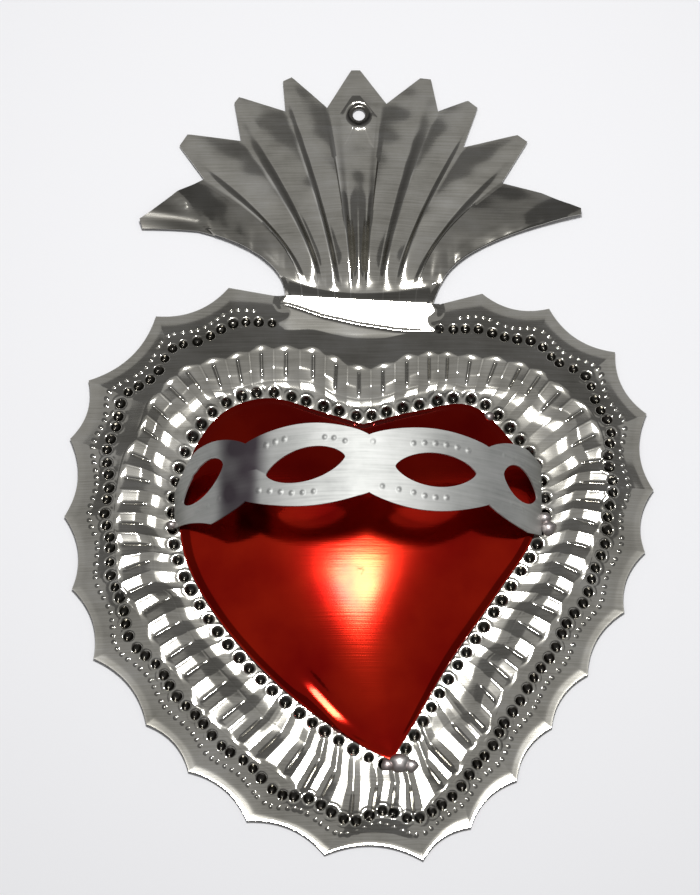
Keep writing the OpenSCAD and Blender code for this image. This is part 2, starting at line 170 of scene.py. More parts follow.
# rolled tinplate: fine rolling lines across it, an uneven tone in patches of about 14 mm, and a thin bump
# that draws lights out. A scale is 1000 over the size in mm. Real rolling lines are finer than a pixel, so
# they are drawn as coarse as they need to show.
def tinMaterial(name, stops, stainAndShadeColour, roughness, bumpDepth, lineScale):
    material, tree = newMaterial(name)
    place = addNode(tree, "ShaderNodeTexCoord").outputs["Object"]
    along = addNode(tree, "ShaderNodeMapping", {"Scale": lineScale}, Vector=place)
    lines = addNode(tree, "ShaderNodeTexNoise", {"Scale": 1.0, "Detail": 3.0}, Vector=along.outputs[0])
    patches = addNode(tree, "ShaderNodeTexNoise", {"Scale": 70.0, "Detail": 5.0, "Roughness": 0.6},
                      Vector=place)
    mixed = addNode(tree, "ShaderNodeMix", {"data_type": "FLOAT", "Factor": 0.4},
                    i2=patches.outputs[0], i3=lines.outputs[0])
    clean = addNode(tree, "ShaderNodeValToRGB", {"stops": stops}, Fac=mixed.outputs[0]).outputs[0]
    # a point's value darkens it above zero, as the band's stain and as painted shade on the plate, and below
    # zero it is a painted highlight, lightened towards near white
    stain = addNode(tree, "ShaderNodeAttribute", {"attribute_name": "stain"}).outputs["Fac"]
    paintedHighlight = addNode(tree, "ShaderNodeMath", {"operation": "MULTIPLY", 1: -1.0}, i0=stain).outputs[0]
    bright = addNode(tree, "ShaderNodeMix", {"data_type": "RGBA", 7: hexColor("#F8F6F0")}, i0=paintedHighlight,
                     i6=clean)
    tint = addNode(tree, "ShaderNodeMix", {"data_type": "RGBA", 7: hexColor(stainAndShadeColour)}, i0=stain,
                   i6=bright.outputs[2]).outputs[2]
    bump = addNode(tree, "ShaderNodeBump", {"Strength": 1.0, "Distance": bumpDepth}, Height=lines.outputs[0])
    shader = addNode(tree, "ShaderNodeBsdfPrincipled", {"Metallic": 1.0, "Roughness": roughness},
                     Base_Color=tint, Normal=bump.outputs[0])
    addNode(tree, "ShaderNodeOutputMaterial", Surface=shader.outputs[0])
    return material


# bright tin that has dulled: grey-olive flats, so that only the slopes towards the lamp flash white, and
# black painted shade in the punch marks. Its rolling lines are 0.4 mm apart and 14 mm long.
embossedTin = tinMaterial("rolled tinplate", [(0.3, "#A19E94"), (0.5, "#C3C0B7"), (0.68, "#D6D4CE")],
                          "#2B2824", 0.12, 0.000004, (70, 70, 2400))
# duller, whiter tin for the band, with a wide soft sheen and a purple-grey heat stain. Its rolling lines
# are 0.55 mm apart.
bandTin = tinMaterial("satin band tinplate", [(0.3, "#A2A3A1"), (0.5, "#BDBEBB"), (0.7, "#CDCDCB")],
                      "#4A4048", 0.62, 0.00001, (70, 70, 1800))
# set solder: smooth and soft in the light, with a little pink in 5 mm clouds, which is the red heart's
# reflection painted into its colour
solderMetal = tinMaterial("set solder", [(0.35, "#B9A5A2"), (0.6, "#E2DEDC")],
                          "#7A6A66", 0.34, 0.000002, (200, 200, 200))

# translucent red lacquer over brushed tin: a deep red that flares orange-white at the lamp. Its brush
# lines are drawn 0.3 mm apart, coarser than real ones, so that they show, and its clouds are 22 mm wide.
redTin, tree = newMaterial("red lacquered tin")
place = addNode(tree, "ShaderNodeTexCoord").outputs["Object"]
along = addNode(tree, "ShaderNodeMapping", {"Scale": (60, 60, 3200)}, Vector=place)
lines = addNode(tree, "ShaderNodeTexNoise", {"Scale": 1.0, "Detail": 2.0}, Vector=along.outputs[0])
clouds = addNode(tree, "ShaderNodeTexNoise", {"Scale": 45.0, "Detail": 4.0}, Vector=place)
tint = addNode(tree, "ShaderNodeValToRGB", {"stops": [(0.35, "#A0130F"), (0.65, "#C02614")]},
               Fac=clouds.outputs[0])
bump = addNode(tree, "ShaderNodeBump", {"Strength": 1.0, "Distance": 0.000008}, Height=lines.outputs[0])
shader = addNode(tree, "ShaderNodeBsdfPrincipled", {"Metallic": 1.0, "Roughness": 0.13},
                 Base_Color=tint.outputs[0], Normal=bump.outputs[0])
addNode(tree, "ShaderNodeOutputMaterial", Surface=shader.outputs[0])
print("materials")


# what a user would change on the heart part of the back plate
plate = {
    "sheet": 0.35,                # thickness of the tin
    "edgeHeight": 0.4,            # front of the free edges, over the wall
    "scallop": 0.13,              # depth of each snipped scallop, as a share of its width
    "columnsPerScallop": 88,
    "margin": [(0.2, 0.55), (0.5, 1.2), (0.8, 2.5)],    # share of the margin's width, and height there
    "ridge": 3.3,                 # pillow round the outer flute ends
    "rib": 3.6,                   # ribs between the flutes
    "ribStart": 0.12, "ribEnd": 0.66,     # share of a flute where the ribs reach that height and leave it
    "ribRound": 0.2,              # share of a slope that is rounded over into the rib
    "scoop": 0.42,                # depth of the flutes below their ribs
    "carryOn": 0.5,               # share of that depth which runs on over the bed to the punched row
    "chisel": 0.3, "chiselWidth": 0.1,    # depth of the line in each flute, and its share of a slope
    "innerRidge": 2.7,            # low ridge round the inner flute ends
    "innerRidgeBelow": 2.75, "belowFrom": (108, 122),   # the same towards the heart's point, and where
    "bed": 2.4,                   # bed under the red heart
    "bedReach": 0.9,              # how far the bed's rows go in, as a share of the red outline
    "bedEdge": 0.955,             # where the slopes and flutes have died out, as the same share
    "fall": 0.25, "fallAtPoint": 0.6,     # length of the slope to the bed, and what the point adds
    "dip": 0.4, "dipFrom": (55, 95),      # how far the bed dips towards the red heart in the lower half
    # towards the point the pillow is lower and levels off, with broad flat ribs and narrow flutes
    "levelFrom": (105, 119), "levelLower": 0.15, "levelRibEnd": 0.15,
    "narrow": 0.62, "narrowScoop": 1.3,
    "nailPitch": 3.4, "nailRadius": 1.4, "nailDepth": 1.2, "nailLip": 0.08,
    "nailIn": (10.3, 8.5),        # from the rim, at a cusp and between two
    "nailEnds": ((-20.5, -5.4), (18.8, -6.5)),
    "beadPitch": 2.0, "beadRadius": 0.6, "beadHeight": 0.3,
    "beadIn": (6.2, 4.9),
    "innerNailPitch": 4.3, "innerNailRadius": 1.4, "innerNailDepth": 1.1, "innerNailLip": 0.06,
    "innerNailOut": 2.0,          # from the red heart's edge
    "dentShade": 0.85,                # painted shade, black, in the nail marks
    "wave": 0.03, "waveSize": 9,  # hand-made unevenness
}
lowestFront = plate["sheet"] + 0.03  # no dent goes through to the wall
# snipped cusps of the rim from the neck's left corner round to its right, from the neck fold
rimCusps = np.array([(-18.9, 2.3), (-33.4, 5), (-52, -2.8), (-69.1, -20.3), (-73.7, -36.2), (-75, -57.2),
    (-72.9, -76.7), (-67.3, -95.4), (-53.8, -113), (-43.1, -125.5), (-28.3, -138.6), (-8.7, -147.5),
    (16.1, -149), (28.1, -140.4), (39.8, -127.9), (48.7, -113.8), (57.9, -99.7), (67.3, -82.9),
    (72.7, -66.9), (75, -50.1), (73.4, -29.4), (65.5, -12.6), (48.7, -0.7), (31.6, 3.4), (18.9, 0)])
# outer and inner end of every flute, from the one under the neck and round to the left
flutes = np.array([
    (0, -17, 0, -26.3), (-5.7, -14.6, -6.1, -24.9), (-11.6, -12.1, -11.7, -21.9),
    (-18.6, -11.5, -18.6, -21.2), (-25.1, -11.5, -24.7, -21.7), (-31.4, -13.5, -29.8, -23),
    (-37.8, -15.1, -34.9, -23.9), (-44.9, -17.5, -39.8, -24.4), (-49.5, -21.7, -43.6, -27.7),
    (-53.6, -27.1, -48.5, -32), (-55.9, -33.9, -50.9, -37.4), (-59.4, -40.6, -52.6, -43.4),
    (-61.2, -47.4, -52.6, -48.8), (-62, -54.6, -53.4, -54.6), (-62.2, -59.9, -54.3, -60.2),
    (-62, -65.7, -52.2, -65.7), (-61.5, -73.3, -52.6, -69.8), (-60.2, -79.6, -51.8, -75.6),
    (-55.9, -85, -47.4, -79.6), (-53.4, -91.4, -44.9, -86.1), (-49.7, -97.2, -41.6, -91.4),
    (-45.4, -102.1, -37.8, -96.4), (-41.6, -109.2, -32.9, -101.8), (-36.6, -114.1, -28.3, -107),
    (-31.6, -118.7, -24.2, -111.6), (-26.9, -123.1, -19.4, -115.4), (-19.6, -127.7, -13.6, -118.7),
    (-15.3, -133.1, -9.9, -122.8), (-10.3, -135, -5.9, -125.8), (-2.3, -139.4, -1.5, -131),
    (3.1, -139.1, 4.6, -129.1), (7.9, -139.1, 9.2, -129.1), (14, -139.4, 12.8, -129.1),
    (21.7, -131, 17.1, -124.6), (25.3, -126.8, 17.9, -118.7), (29.3, -120.1, 23.2, -113),
    (32.9, -116, 27.6, -110.3), (35.5, -108.9, 30.1, -103), (39.3, -103.2, 32.4, -96.7),
    (43.1, -97.5, 36.6, -92.6), (47.7, -91.3, 39.8, -85.9), (51.3, -85, 43.4, -81.1),
    (53.6, -79.6, 47.2, -75.9), (57.4, -74.2, 49.2, -70), (59.7, -67, 52.2, -64.9),
    (61.7, -60.9, 53.8, -58.4), (63.3, -54.3, 54.6, -53.5), (65.1, -49.2, 55.4, -48.8),
    (63.3, -42.9, 56.1, -43.7), (61.7, -35.2, 53.6, -39.4), (58.3, -28.5, 52.3, -32.6),
    (52.3, -23, 45.9, -30.3), (46.9, -18.7, 42.2, -25.7), (41.8, -16.3, 38, -23.9),
    (35.5, -14.6, 32.4, -23), (28.6, -14, 27.3, -23), (22.7, -13.4, 22.3, -21.7),
    (17.9, -13.2, 17.9, -22.2), (12.2, -14, 12.2, -23.6), (6.1, -16.5, 6.1, -25.7)])
# flute number against the place on the rim, in cusps, that it points at
fluteAims = np.array([(3, 0), (4, 0.47), (8, 2.46), (12, 4.36), (16, 6), (20, 7.48), (24, 9.1), (28, 10.66),
    (32, 12), (36, 14.2), (40, 16.1), (44, 17.85), (48, 19.46), (52, 21.62), (56, 23.64), (57, 24)])
# outline of the red heart: left side from the cleft to the tip, then the right side back up
redLeft = [(1, -33.1), (-9.4, -29.8), (-22.7, -26), (-34.2, -29.6), (-41.8, -39.6), (-45.4, -53.7),
    (-44.1, -69.5), (-34.9, -86.8), (-19.6, -104.1), (-3.3, -117.1), (8.2, -123.4)]
redRight = [(8.2, -123.4), (13.8, -113.9), (22.7, -97.7), (35.2, -78.6), (44.4, -63.2), (44.9, -49.6),
    (38, -36.6), (28.1, -27.9), (14.3, -29.6), (1, -33.1)]
redMiddle = np.array([0.3, -75.5])
redOutline = np.vstack([openCurve(redLeft, 12)[:-1], openCurve(redRight, 12)[:-1]])


# point of the rim at place p, counted in cusps: shallow hollow arcs, straight beside the neck
def rimPoint(p):
    k = np.minimum(np.floor(p).astype(int), len(rimCusps) - 2)
    t = (p - k)[..., None]
    a, b = rimCusps[k], rimCusps[k + 1]
    nearNeck = (k == 0) | (k == len(rimCusps) - 2)
    sag = np.where(nearNeck, 0, plate["scallop"])[..., None] * 4 * t * (1 - t)
    return a + (b - a) * t + sag * np.stack([a[..., 1] - b[..., 1], b[..., 0] - a[..., 0]], axis=-1)


# distance from the red heart's middle to its outline, along each direction
def redReach(direction):
    rel = redOutline - redMiddle
    angle = np.arctan2(rel[:, 1], rel[:, 0])
    order = np.argsort(angle)
    angle, reach = angle[order], np.linalg.norm(rel, axis=1)[order]
    want = np.arctan2(direction[:, 1], direction[:, 0])
    threeTurns = np.concatenate([angle - 2 * math.pi, angle, angle + 2 * math.pi])
    return np.interp(want, threeTurns, np.tile(reach, 3))


# columns run round the heart: along the rim, then across the neck under the flame's petals, where the
# last six flutes are
petalCount, petalColumns = 9, 26
crownColumns = petalCount * petalColumns
scallops = len(rimCusps) - 1
rimPlaces = np.linspace(0, scallops, scallops * plate["columnsPerScallop"] + 1)
neckShare = np.arange(1, crownColumns) / crownColumns
columnFlute = np.concatenate([np.interp(rimPlaces, fluteAims[:, 1], fluteAims[:, 0]), 57 + 6 * neckShare])
acrossNeck = rimCusps[-1] + (rimCusps[0] - rimCusps[-1]) * neckShare[:, None]
edgePoints = np.vstack([rimPoint(rimPlaces), acrossNeck])
columns = len(columnFlute)
outer, inner = onRing(flutes[:, :2], columnFlute), onRing(flutes[:, 2:], columnFlute)

marginRows = np.linspace(0, 1, 70)[:-1]
fluteRows = np.linspace(0, 1, 48)
toMiddle = inner - redMiddle
reach = redReach(toMiddle)
inside = redMiddle + toMiddle * (plate["bedReach"] * reach / np.linalg.norm(toMiddle, axis=1))[:, None]
bedRows = np.linspace(0, 1, 44)[1:]
fanRows = np.array([0.7, 0.4, 0.12])
heartXZ = np.array([edgePoints + (outer - edgePoints) * t for t in marginRows]
                   + [outer + (inner - outer) * t for t in fluteRows]
                   + [inner + (inside - inner) * t for t in bedRows]
                   + [redMiddle + (inside - redMiddle) * t for t in fanRows])

# the margin rises gently from its free edge and swells up to the pillow
marginKeys = [(0, plate["edgeHeight"]), *plate["margin"], (1, plate["ridge"])]
marginH = profile(marginRows, *zip(*marginKeys))
below = ease(-inner[:, 1], *plate["belowFrom"])  # 1 towards the heart's point
innerRidge = plate["innerRidge"] + (plate["innerRidgeBelow"] - plate["innerRidge"]) * below
level = ease(-inner[:, 1], *plate["levelFrom"])  # 1 where the pillow levels off, at the point
lowering = 1 - plate["levelLower"] * level
along = profile(fluteRows, [0, plate["ribStart"], 1], [0, 1, 1])[:, None]
endShare = profile(fluteRows, [0, plate["ribEnd"], 1], [0, 0, 1])[:, None] * (1 - level) \
    + profile(fluteRows, [0, plate["levelRibEnd"], 1], [0, 0, 1])[:, None] * level
envelope = (plate["ridge"] + (plate["rib"] - plate["ridge"]) * along) * lowering \
    + (innerRidge - plate["rib"] * lowering) * endShare
# each flute is a shallow V with round ends: straight slopes, rounded only on top of the ribs
phase = np.abs(columnFlute - np.round(columnFlute)) * 2  # 0 in the middle of a flute, 1 on a rib
crest = (phase - 1 + plate["ribRound"]).clip(0)
slopes = 1 - np.sqrt(phase**2 + 0.01) - 0.5 * crest**2 / plate["ribRound"]
slopes = slopes.clip(0) * (1 - level) + plate["narrowScoop"] * (1 - phase / plate["narrow"]).clip(0) * level
carried = 1 - (1 - plate["carryOn"]) * ease(fluteRows, 0.6, 1.0)
fluteH = envelope - plate["scoop"] * slopes[None, :] * (ease(fluteRows, 0, 0.2) * carried)[:, None]
chiselRun = ease(fluteRows, 0.16, 0.26) * (1 - ease(fluteRows, 0.78, 0.95))
fluteH -= plate["chisel"] * np.exp(-(phase[None, :] / plate["chiselWidth"]) ** 2) * chiselRun[:, None]
# from the inner flute ends the sheet runs down to the bed
edgeShare = 1 - reach * (plate["bedEdge"] - plate["bedReach"]) / np.linalg.norm(inside - inner, axis=1)
slopeEnd = (plate["fall"] + plate["fallAtPoint"] * level) * edgeShare
bedFall = (1 - ease(bedRows[:, None], -0.5 * slopeEnd, slopeEnd)) / (1 - ease(0, -0.5 * slopeEnd, slopeEnd))
bedH = plate["bed"] + (innerRidge - plate["bed"]) * bedFall
# the flutes run on over it, and in the lower half it dips a little towards the red heart
flutesOn = 1 - ease(bedRows[:, None], 0.1 * edgeShare, edgeShare)
bedH -= plate["scoop"] * plate["carryOn"] * slopes * flutesOn
dipShare = ease(-inner[:, 1], *plate["dipFrom"]) * (1 - level)
bedH -= plate["dip"] * dipShare * (bedRows[:, None] / edgeShare).clip(0, 1)
heartH = np.vstack([marginH[:, None] * lowering, fluteH, bedH,
                    np.full((len(fanRows), columns), plate["bed"])])

# punch marks follow the scallops: nails on the slope, small beads outside them, nails round the red heart
scallopPlaces = np.arange(0, scallops + 0.01, 0.5)
atCusp = (scallopPlaces % 1) < 0.25
onRim = rimPoint(scallopPlaces)
inward = onRing(flutes[:, :2], np.interp(scallopPlaces, fluteAims[:, 1], fluteAims[:, 0])) - onRim
inward /= np.linalg.norm(inward, axis=1)[:, None]
nailPath = onRim + inward * np.where(atCusp, *plate["nailIn"])[:, None]
nailPath[0], nailPath[-1] = plate["nailEnds"]
nails = evenly(openCurve(nailPath, 10), plate["nailPitch"], loose=0.07)
beadPath = onRim + inward * np.where(atCusp, *plate["beadIn"])[:, None]
beads = evenly(openCurve(beadPath[1:-1], 10), plate["beadPitch"], loose=0.1)
outward = (redOutline - redMiddle) / np.linalg.norm(redOutline - redMiddle, axis=1)[:, None]
outOfRed = redOutline + outward * plate["innerNailOut"]
innerNails = evenly(outOfRed, plate["innerNailPitch"], loose=0.05, closed=True)
# painted shade in the nail marks, which pressMarks fills in
heartShade = np.zeros(heartH.shape)


# round punch marks of uneven size: hollow for a positive depth, beads for a negative one, with a soft lip
# just outside the edge, and painted shade inside the mark where a shade amount is given
def pressMarks(xz, h, places, radius, depth, lip=0.0, stain=0.0):
    for px, pz in places:
        r = radius * dice.uniform(0.88, 1.1)
        near = (np.abs(xz[..., 0] - px) < 2.4 * r) & (np.abs(xz[..., 1] - pz) < 2.4 * r)
        d = np.hypot(xz[..., 0][near] - px, xz[..., 1][near] - pz) / r
        h[near] += -depth * np.clip(1 - d**2, 0, 1) ** 1.1 + lip * np.exp(-((d - 1.3) / 0.3) ** 2)
        if stain:
            heartShade[near] = np.maximum(heartShade[near], stain * (1 - ease(d, 0.75, 1.05)))


offEdge = ease(heartH, plate["edgeHeight"], plate["edgeHeight"] + 1)
heartH += plate["wave"] * ripple(heartXZ[..., 0], heartXZ[..., 1], plate["waveSize"], 3) * offEdge
# both rows of nail marks get their painted shade here
pressMarks(heartXZ, heartH, nails, plate["nailRadius"], plate["nailDepth"], plate["nailLip"], plate["dentShade"])
pressMarks(heartXZ, heartH, beads, plate["beadRadius"], -plate["beadHeight"])
pressMarks(heartXZ, heartH, innerNails, plate["innerNailRadius"], plate["innerNailDepth"],
           plate["innerNailLip"], plate["dentShade"])
heartH = np.maximum(heartH, lowestFront)

# the neck: a ridge along the fold, from which a smooth band runs down to a slanting chased line
neck = {
    "ridge": 2.1,
    "fall": 0.1, "fallBelow": 0.09,       # slope of the band, and how much less it is below the line
    "line": [(-18, 2.4), (-9, 5.0), (0, 6.5), (9, 7.4), (18, 7.6)],     # x, and how far below the fold
    "lineDepth": 0.25, "lineWidth": 0.4,
    "half": 22, "ragged": 0.6,            # half of the band's length, and its uneven ends
    "fade": (9, 13),                      # how far below the fold it dies out
}


# height of the fold at x
def foldAt(x):
    return np.interp(x, *rimCusps[[0, -1]].T)


marginXZ = heartXZ[:len(marginRows)]
down = foldAt(marginXZ[..., 0]) - marginXZ[..., 1]
besideNeck = np.abs(marginXZ[..., 0])
lineAt = np.interp(marginXZ[..., 0], *zip(*neck["line"]))
neckH = neck["ridge"] - neck["fall"] * down + neck["fallBelow"] * (down - lineAt).clip(0)
neckH -= neck["lineDepth"] * np.exp(-((down - lineAt) / neck["lineWidth"]) ** 2)
onNeck = ease(neck["half"] + neck["ragged"] * ripple(down, besideNeck, 5, 8) - besideNeck, 0, 4)
onNeck *= (1 - ease(down, *neck["fade"])) * (down > -0.5)
heartH[:len(marginRows)] += (neckH - heartH[:len(marginRows)]).clip(-0.2) * onNeck

# the flame: tips and notches of the nine petals, from the neck fold
petalTips = np.array([(-55.6, 21.2, -56.4, 23.7), (-46.2, 44.1, -44.1, 47.3), (-32.1, 56, -30.9, 57.6),
    (-19.6, 62, -17.3, 63.1), (-2, 65, 0.3, 65), (15.8, 62.8, 18.6, 62.5), (28.1, 56.6, 30.6, 54.6),
    (40.8, 47.1, 43.4, 45.2), (57.1, 26.5, 57.1, 24.9)])
petalNotches = np.array([(-39.8, 34.9), (-30.3, 45.4), (-18.9, 53.6), (-8.2, 54.6), (7.1, 55.7), (20.4, 53.6),
    (26.8, 43.6), (36.7, 33.8)])
flame = {
    "side": 0.42,     # share of a petal's top on each side of its blunt tip
    "leafTip": 0.15, "leafBulge": 0.9,    # the same share of an outer leaf's tip, and the bulge of its top
    "spring": 15.8,   # straight rise of the petals before they fan out
    "base": 0.9,      # height of the lowest parts of the petals at the neck
    "swell": 1.2,     # height of the step from petal to petal
    "step": 0.42,     # share of a petal's width that the step takes
    # share of the way up a petal, and how much of the base and the swell is left there
    "baseRun": [(0, 1), (0.3, 1), (0.75, 0.6), (1, 0)],
    "swellRun": [(0, 1.3), (0.14, 1.3), (0.3, 1.1), (0.6, 0.9), (0.85, 0.5), (1, 0.05)],
    "crease": 3.2, "creaseLeft": 4.7, "creaseRight": 2.6,   # crease over the fold, and its rise at the sides
    "creaseH": 1.5, "pocket": 2.4, "pocketRise": 0.3, "creaseRun": 11.0,
    "stripShade": 0.25, "shade": 0.38, "leafShade": 0.45,   # painted shade on the strip, the pleats and the leaves
    "bright": 0.8,    # painted highlight on the chased lines
    "wave": 0.03, "waveSize": 9,
    "rows": 200,
}
middlePetal = petalCount // 2


# upper outline of the flame at column c
def crownTop(c):
    k, f = divmod(c, petalColumns)
    f = f / petalColumns
    if k >= petalCount:
        return petalTips[-1, 2:]
    tipA, tipB = petalTips[k, :2], petalTips[k, 2:]
    side, leafTip, bulge = flame["side"], flame["leafTip"], np.array([0, flame["leafBulge"]])
    if k == 0:
        if f < leafTip:
            return tipA + (tipB - tipA) * f / leafTip
        bend = 1 - abs(2 * (f - 0.3) / 0.7 - 1) if f > 0.3 else 0
        return tipB + (petalNotches[0] - tipB) * (f - leafTip) / (1 - leafTip) + bulge * bend
    if k == petalCount - 1:
        if f < 1 - leafTip:
            bend = 1 - abs(2 * f / (1 - leafTip) - 1)
            return petalNotches[-1] + (tipA - petalNotches[-1]) * f / (1 - leafTip) + bulge * bend
        return tipA + (tipB - tipA) * (f - 1 + leafTip) / leafTip
    if f < side:
        return petalNotches[k - 1] + (tipA - petalNotches[k - 1]) * f / side
    if f < 1 - side:
        return tipA + (tipB - tipA) * (f - side) / (1 - 2 * side)
    return tipB + (petalNotches[k] - tipB) * (f - 1 + side) / side


crownShare = np.arange(crownColumns + 1) / crownColumns
tops = np.array([crownTop(c) for c in range(crownColumns + 1)])
foot = rimCusps[0] + (rimCusps[-1] - rimCusps[0]) * crownShare[:, None]
petalF = (np.arange(crownColumns + 1) % petalColumns) / petalColumns
flameRows = np.linspace(0, 1, flame["rows"])
# the left leaf's edge bows up near its tip, and the right leaf's bows out near the neck
lift = np.interp(flameRows, [0, 0.35, 0.55, 0.78, 1], [0, 0, 0.5, 1.3, 0])
push = np.interp(flameRows, [0, 0.11, 0.2, 0.35, 0.5], [0, 0.6, 0.7, 0.3, 0])
fromLeft = np.clip(1 - np.arange(crownColumns + 1) / 12, 0, 1)
edgeFade = ease(np.minimum(crownShare, 1 - crownShare) * crownColumns, -4, 10)
t = flameRows[:, None, None]
flameXZ = (1 - t) ** 2 * foot + 2 * t * (1 - t) * (foot + [0, flame["spring"]]) + t**2 * tops
flameXZ[..., 0] += push[:, None] * fromLeft[::-1]
flameXZ[..., 1] += lift[:, None] * fromLeft
# each petal steps down beside the chased line on its outer side, then swells up to the next line
petalNumber = np.minimum(np.arange(crownColumns + 1) // petalColumns, petalCount - 1)
fromOuter = np.where(petalNumber < middlePetal, petalF, 1 - petalF)
fromOuter = np.where(petalNumber == middlePetal, 2 * np.minimum(petalF, 1 - petalF), fromOuter)
leaf = (petalNumber == 0) | (petalNumber == petalCount - 1)
step = ease(fromOuter, 0.0, flame["step"])
rise = (fromOuter - flame["step"]).clip(0) / (1 - flame["step"])
petal = 1 - step + (1 - (1 - rise) ** 1.5)
petal = np.where(leaf, 0.6 * fromOuter, petal)
baseH = flame["base"] * profile(flameRows, *zip(*flame["baseRun"]))[:, None]
swellH = flame["swell"] * profile(flameRows, *zip(*flame["swellRun"]))[:, None]
aroundHole = 1 - 0.85 * (petalNumber == middlePetal) * ease(flameRows, 0.45, 0.72)[:, None]
flameH = plate["edgeHeight"] + (baseH + swellH * petal * aroundHole) * edgeFade
flameWave = flame["wave"] * ripple(flameXZ[..., 0], flameXZ[..., 1], flame["waveSize"], 5)
flameH += flameWave * ease(flameRows, 0.1, 0.3)[:, None]
# the crease where the petals spring from the neck, and the strip between it and the fold
px, pz = flameXZ[..., 0], flameXZ[..., 1]
neckTop = foldAt(px)
creaseZ = flame["crease"] + np.where(px < 0, flame["creaseLeft"], flame["creaseRight"]) * (px / 20) ** 2
over = pz - creaseZ
strip = ((pz - neckTop) / (creaseZ - neckTop)).clip(0, 1)
ridgeUp = neck["ridge"] - plate["edgeHeight"]
stripH = plate["edgeHeight"] + (ridgeUp + (flame["creaseH"] - neck["ridge"]) * ease(strip, 0, 1)) * edgeFade
pocketH = flame["creaseH"] + flame["pocketRise"] * (over / flame["pocket"]).clip(0, 1) \
    * (0.45 + 0.9 * ripple(px, 0 * px, 5, 21)).clip(-0.2, 1.2)
flameH = np.where(over < 0, stripH, pocketH + (flameH - pocketH) * ease(over, 0.3, flame["creaseRun"]))
# painted shade beside each chased line, a painted highlight on the line itself, and painted shade on the
# strip and the two outer leaves
flameShadeAndHighlight = flame["stripShade"] * ease(strip, 0.05, 0.4) * (1 - ease(strip, 0.8, 1.0))
besideLine = np.exp(-((fromOuter - 0.24) / 0.13) ** 2) * ~leaf
flameShadeAndHighlight += flame["shade"] * besideLine \
    * (ease(flameRows, 0.1, 0.3) * (1 - ease(flameRows, 0.7, 0.98)))[:, None]
onLine = np.exp(-(fromOuter / 0.05) ** 2) * ~leaf
flameShadeAndHighlight -= flame["bright"] * onLine * (1 - ease(flameRows, 0.75, 0.97))[:, None]
flameShadeAndHighlight += flame["leafShade"] * leaf * ease(flameRows, 0.15, 0.4)[:, None]
# the foot row of the flame is the neck row of the heart
neckIds = np.concatenate([[0], np.arange(columns - 1, len(rimPlaces) - 1, -1), [len(rimPlaces) - 1]])
fade = (1 - ease(flameRows, 0, 0.02))[:, None]
flameH = flameH * (1 - fade) + heartH[0, neckIds] * fade

flameXZ[..., 1] += neckZ
heartXZ[..., 1] += neckZ

# one mesh: the heart's rows, its middle, then the flame's rows above the neck
heartPoints = np.column_stack([heartXZ.reshape(-1, 2), heartH.reshape(-1)])
ids = np.arange(len(heartPoints)).reshape(heartH.shape)
ids = np.column_stack([ids, ids[:, 0]])
centre = len(heartPoints)
faces = gridFaces(ids) + [[ids[-1, j], centre, ids[-1, j + 1]] for j in range(columns)]
flamePoints = np.column_stack([flameXZ[1:].reshape(-1, 2), flameH[1:].reshape(-1)])
flameIds = np.vstack([neckIds, centre + 1 + np.arange(len(flamePoints)).reshape(len(flameRows) - 1, -1)])
points = np.vstack([heartPoints, [[redMiddle[0], redMiddle[1] + neckZ, plate["bed"]]], flamePoints])

# punched hanging hole: a round patch takes the place of a block of the flame's grid
hole = {"radius": 1.6, "dish": 3.4, "depth": 1.6, "soft": 0.6,      # hole, and the dish round it
        # the last value here is the painted shade in the dish round the hole
        "lip": 0.12, "lipAt": 3.7, "lipWidth": 0.6, "dentShade": 0.8,
        "rings": 14, "wide": 9, "tall": 12}                         # rings and size of the patch
r0, c0 = np.unravel_index(np.argmin(np.linalg.norm(flameXZ, axis=2)), flameH.shape)
low, high = (r0 - hole["tall"], c0 - hole["wide"]), (r0 + hole["tall"], c0 + hole["wide"])
block = flameIds[low[0]:high[0] + 1, low[1]:high[1] + 1]
faces += [[flameIds[r, c + 1], flameIds[r + 1, c + 1], flameIds[r + 1, c], flameIds[r, c]]
          for r in range(len(flameRows) - 1) for c in range(crownColumns)
          if not (low[0] <= r < high[0] and low[1] <= c < high[1])]
blockLoop = np.concatenate([block[0, :-1], block[:-1, -1], block[-1, :0:-1], block[:0:-1, 0]])
outerRing = points[blockLoop]
angles = np.arctan2(outerRing[:, 1], outerRing[:, 0])
petalLevel = points[block.reshape(-1), 2].max()
rings, ringShade = [], []
for k in range(hole["rings"]):
    s = (k / hole["rings"]) ** 1.2
    edge = np.column_stack([np.cos(angles), np.sin(angles)]) * hole["radius"]
    ringXZ = edge * (1 - s) + outerRing[:, :2] * s
    r = np.linalg.norm(ringXZ, axis=1)
    dip = hole["depth"] * (1 - ease(r, hole["radius"] - hole["soft"], hole["dish"])) \
        - hole["lip"] * np.exp(-((r - hole["lipAt"]) / hole["lipWidth"]) ** 2)
    # painted shade in the dish round the hole
    ringShade.append(hole["dentShade"] * (1 - ease(r, hole["dish"] - 0.8, hole["dish"] + 0.2)))
    ringH = petalLevel * (1 - s) + outerRing[:, 2] * s - dip
    rings.append(np.column_stack([ringXZ, np.maximum(ringH, lowestFront)]))
ringIds = len(points) + np.arange(hole["rings"] * len(blockLoop)).reshape(hole["rings"], -1)
ringIds = np.vstack([ringIds, blockLoop])
ringIds = np.column_stack([ringIds, ringIds[:, 0]])
points = np.vstack([points] + rings)
faces += [[a, b, c, d] for d, c, b, a in gridFaces(ringIds)]

rimLoop = list(ids[0, :len(rimPlaces)]) + list(flameIds[1:, -1]) + list(flameIds[-1, -2::-1]) \
    + list(flameIds[-2:0:-1, 0])
# painted shade in the nail marks and the hole's dish, and painted shade and highlights on the flame, on the
# front and the back
stain = np.concatenate([heartShade.reshape(-1), [0], flameShadeAndHighlight[1:].reshape(-1)] + ringShade)
points, faces = solidSheet(points, faces, [rimLoop, list(ringIds[0, :-1])], plate["sheet"])
backPlate = addMesh("back_plate", points, faces, embossedTin, "back_plate", stain=np.tile(stain, 2))
print("back plate", len(points), "points")


